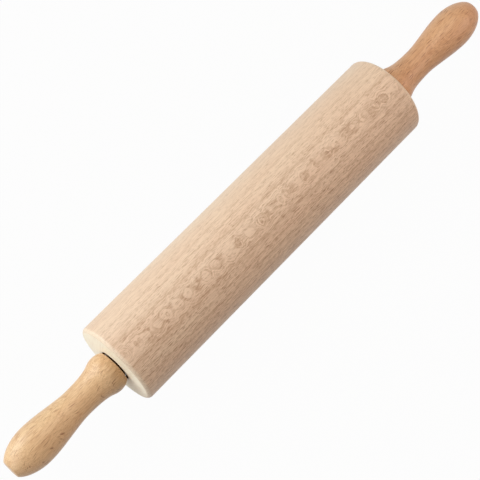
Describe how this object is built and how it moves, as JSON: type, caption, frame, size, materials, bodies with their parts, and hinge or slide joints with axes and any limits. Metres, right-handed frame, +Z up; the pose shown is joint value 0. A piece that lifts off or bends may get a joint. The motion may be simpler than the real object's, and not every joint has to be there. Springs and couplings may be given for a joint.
{
  "type": "rolling pin",
  "caption": "Handled rolling pin: a straight turned wooden barrel that spins on ball bearings round a steel axle, with a waisted turned handle at each end.",
  "frame": {"origin": "on the axle, halfway along the barrel, which is the centre of the whole pin", "axes": "+X along the axle towards the right handle, +Z up, so the barrel's lowest line is straight below the axle"},
  "size_m": [0.44, 0.06, 0.06],
  "materials": {
    "barrel_wood": "sanded, unvarnished beech",
    "handle_wood": "oiled beech, satin",
    "axle_steel": "turned",
    "insert_brass": "machined",
    "washer_steel": "stamped steel, blackened",
    "housing_nylon": "moulded, dark brown",
    "bearing_steel": "ground",
    "ball_steel": "polished",
    "cage_nylon": "moulded",
    "shield_rubber": "moulded nitrile rubber, brown-black"
  },
  "bodies": {
    "axle_and_handles": {"axle_rod": "axle_steel", "handle_left": "handle_wood", "handle_right": "handle_wood", "handle_insert_left": "insert_brass", "handle_insert_right": "insert_brass", "handle_washer_left": "washer_steel", "handle_washer_right": "washer_steel", "bearing_inner_ring_left": "bearing_steel", "bearing_inner_ring_right": "bearing_steel"},
    "barrel": {"barrel": "barrel_wood", "bearing_housing_left": "housing_nylon", "bearing_housing_right": "housing_nylon", "bearing_outer_ring_left": "bearing_steel", "bearing_outer_ring_right": "bearing_steel", "bearing_outward_shield_left": "shield_rubber", "bearing_outward_shield_right": "shield_rubber", "bearing_inward_shield_left": "shield_rubber", "bearing_inward_shield_right": "shield_rubber"},
    "left_ball_set": {"bearing_balls_left": "ball_steel", "bearing_cage_left": "cage_nylon"},
    "right_ball_set": {"bearing_balls_right": "ball_steel", "bearing_cage_right": "cage_nylon"}
  },
  "joints": [
    {"name": "barrel_spin", "type": "hinge", "parent": "axle_and_handles", "child": "barrel", "pos_m": [0, 0, 0], "axis": [1, 0, 0], "continuous": true},
    {"name": "left_ball_set_spin", "type": "hinge", "parent": "axle_and_handles", "child": "left_ball_set", "pos_m": [-0.1267, 0, 0], "axis": [1, 0, 0], "continuous": true},
    {"name": "right_ball_set_spin", "type": "hinge", "parent": "axle_and_handles", "child": "right_ball_set", "pos_m": [0.1267, 0, 0], "axis": [1, 0, 0], "continuous": true}
  ],
  "couplings": [
    {"joint": "left_ball_set_spin", "follows": "barrel_spin", "ratio": 0.62963},
    {"joint": "right_ball_set_spin", "follows": "barrel_spin", "ratio": 0.62963}
  ]
}
